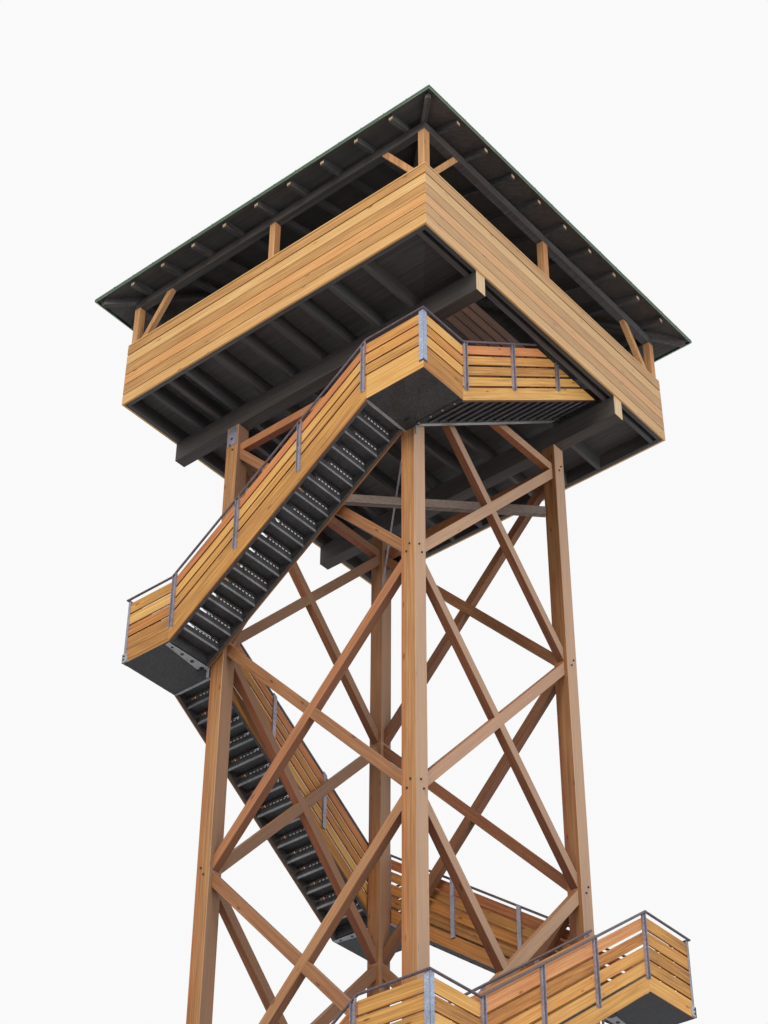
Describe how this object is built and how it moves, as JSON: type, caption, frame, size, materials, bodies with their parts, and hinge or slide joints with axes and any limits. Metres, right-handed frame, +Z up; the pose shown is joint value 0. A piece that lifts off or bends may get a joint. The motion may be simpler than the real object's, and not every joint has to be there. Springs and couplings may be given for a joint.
{
  "type": "timber lookout tower with a winding outside stair",
  "caption": "Tall timber fire lookout tower: four legs with crossed braces, a boarded stair winding outside them, and an open roofed cabin with boarded guards.",
  "frame": {"origin": "ground level under the centre of the south-east leg, the one at the front in the picture", "axes": "+Z up; +X and -Y are the two sides that the picture shows; the cabin floor beams run along X"},
  "size_m": [8.24, 8.24, 29.8829],
  "materials": {
    "larch_legs": "satin planed glulam",
    "larch_braces": "satin planed timber",
    "larch_cladding": "satin planed boards",
    "larch_stair": "satin planed boards",
    "larch_posts": "satin planed timber",
    "larch_shaded": "matt sawn timber",
    "galvanised_steel": "dull hot-dip zinc",
    "handrail_steel": "satin",
    "tread_grating": "dull hot-dip zinc",
    "roof_metal": "satin dark green"
  },
  "bodies": {
    "root": {"bracing_east": "larch_braces", "bracing_north": "larch_braces", "bracing_south": "larch_braces", "bracing_west": "larch_braces", "cabin_floor": "larch_shaded", "cabin_guard_east": "larch_cladding", "cabin_guard_north": "larch_cladding", "cabin_guard_south": "larch_cladding", "cabin_guard_west": "larch_cladding", "cabin_posts": "larch_posts", "eaves_trim": "roof_metal", "floor_joists": "larch_shaded", "guard_posts": "galvanised_steel", "handrails": "handrail_steel", "hip_rafters": "larch_shaded", "inner_flight_guards": "larch_stair", "inner_stringers": "larch_stair", "knee_braces": "larch_posts", "landing_decks": "galvanised_steel", "landing_frames": "galvanised_steel", "landing_guards": "larch_stair", "leg_northeast": "larch_legs", "leg_northwest": "larch_legs", "leg_shoes": "galvanised_steel", "leg_southeast": "larch_legs", "leg_southwest": "larch_legs", "main_beam_north": "larch_shaded", "main_beam_south": "larch_shaded", "opening_guard": "larch_stair", "opening_guard_posts": "galvanised_steel", "outer_flight_guards": "larch_stair", "outer_stringers": "larch_stair", "plan_rod": "galvanised_steel", "plan_tie": "larch_braces", "rafters": "larch_shaded", "rim_and_trimmer_joists": "larch_shaded", "roof_boards": "larch_shaded", "roof_sheet": "roof_metal", "stair_treads": "tread_grating", "wall_plates": "larch_shaded"}
  },
  "joints": []
}
